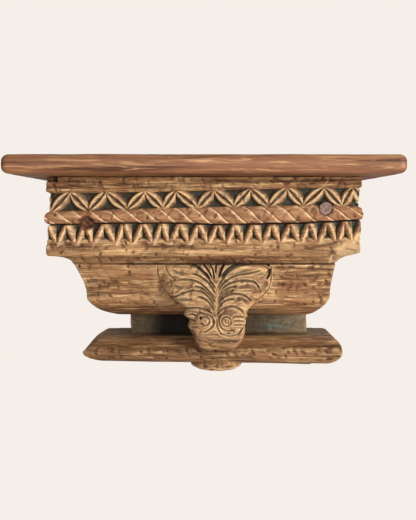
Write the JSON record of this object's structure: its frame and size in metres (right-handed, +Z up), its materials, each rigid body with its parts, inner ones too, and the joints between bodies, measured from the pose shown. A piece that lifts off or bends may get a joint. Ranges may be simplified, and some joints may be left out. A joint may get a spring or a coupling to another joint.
{
  "type": "corbel shelf",
  "caption": "Wall shelf with a rounded plank on a carved timber capital, with leaf, rope and zigzag bands above a bowl and a scrolled leaf bracket.",
  "frame": {"origin": "middle of the frieze block's back face, on the wall", "axes": "+X along the shelf to the right as seen from the room, +Y into the wall, +Z up"},
  "size_m": [0.57, 0.2, 0.3338],
  "materials": {
    "board_wood": "waxed, with a soft sheen",
    "corbel_wood": "weathered and dry, with remains of blue-green paint in the hollows",
    "peg_wood": "end grain, worn flush"
  },
  "bodies": {
    "root": {"shelf_board": "board_wood", "carved_corbel": "corbel_wood", "frieze_peg": "peg_wood"}
  },
  "joints": []
}
